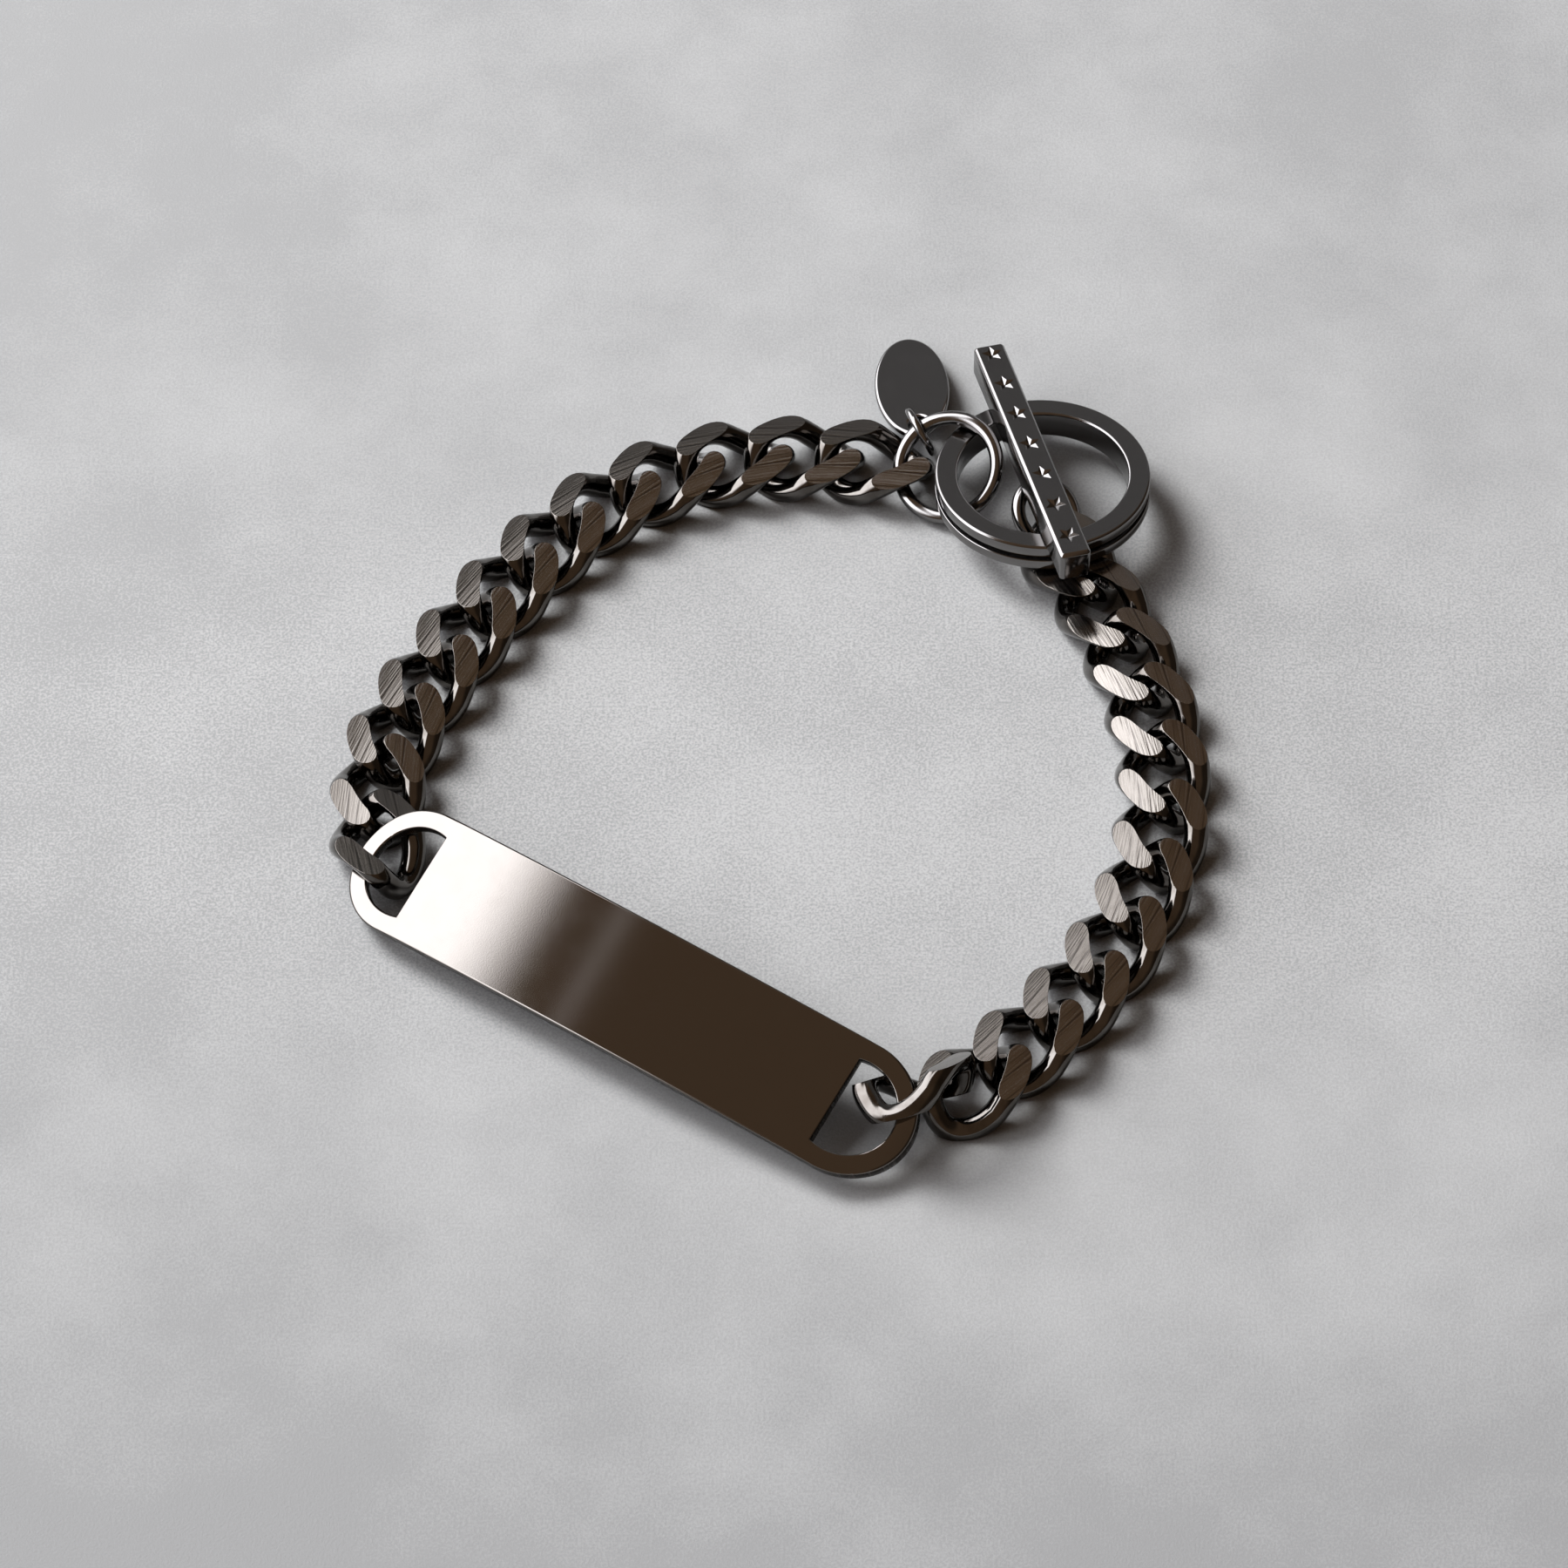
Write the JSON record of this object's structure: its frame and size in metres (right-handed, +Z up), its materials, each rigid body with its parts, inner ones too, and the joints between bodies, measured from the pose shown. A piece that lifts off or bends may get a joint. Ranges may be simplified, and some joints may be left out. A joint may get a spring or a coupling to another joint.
{
  "type": "chain bracelet",
  "caption": "Curb-chain bracelet with a blank identity plate, toggle clasp and oval tag, lying closed in a loop.",
  "frame": {"origin": "middle of the whole bracelet's box, on the surface it lies on", "axes": "+Z up from the surface, -Y to the side with the plate, +X to the right as seen from that side"},
  "size_m": [0.0626, 0.0761, 0.0081],
  "materials": {
    "gunmetal_chain": "ground faces on dark gunmetal plate",
    "gunmetal_polished": "polished gunmetal plate"
  },
  "bodies": {
    "root": {"id_plate": "gunmetal_polished", "link_a01": "gunmetal_chain", "link_a02": "gunmetal_chain", "link_a03": "gunmetal_chain", "link_a04": "gunmetal_chain", "link_a05": "gunmetal_chain", "link_a06": "gunmetal_chain", "link_a07": "gunmetal_chain", "link_a08": "gunmetal_chain", "link_a09": "gunmetal_chain", "link_a10": "gunmetal_chain", "link_a11": "gunmetal_chain", "link_a12": "gunmetal_chain", "link_b01": "gunmetal_chain", "link_b02": "gunmetal_chain", "link_b03": "gunmetal_chain", "link_b04": "gunmetal_chain", "link_b05": "gunmetal_chain", "link_b06": "gunmetal_chain", "link_b07": "gunmetal_chain", "link_b08": "gunmetal_chain", "link_b09": "gunmetal_chain", "link_b10": "gunmetal_chain", "link_b11": "gunmetal_chain", "link_b12": "gunmetal_chain", "toggle_ring": "gunmetal_polished", "toggle_bar": "gunmetal_polished", "big_jump_ring": "gunmetal_polished", "bar_jump_ring": "gunmetal_polished", "tag_jump_ring": "gunmetal_polished", "tag": "gunmetal_polished"}
  },
  "joints": []
}
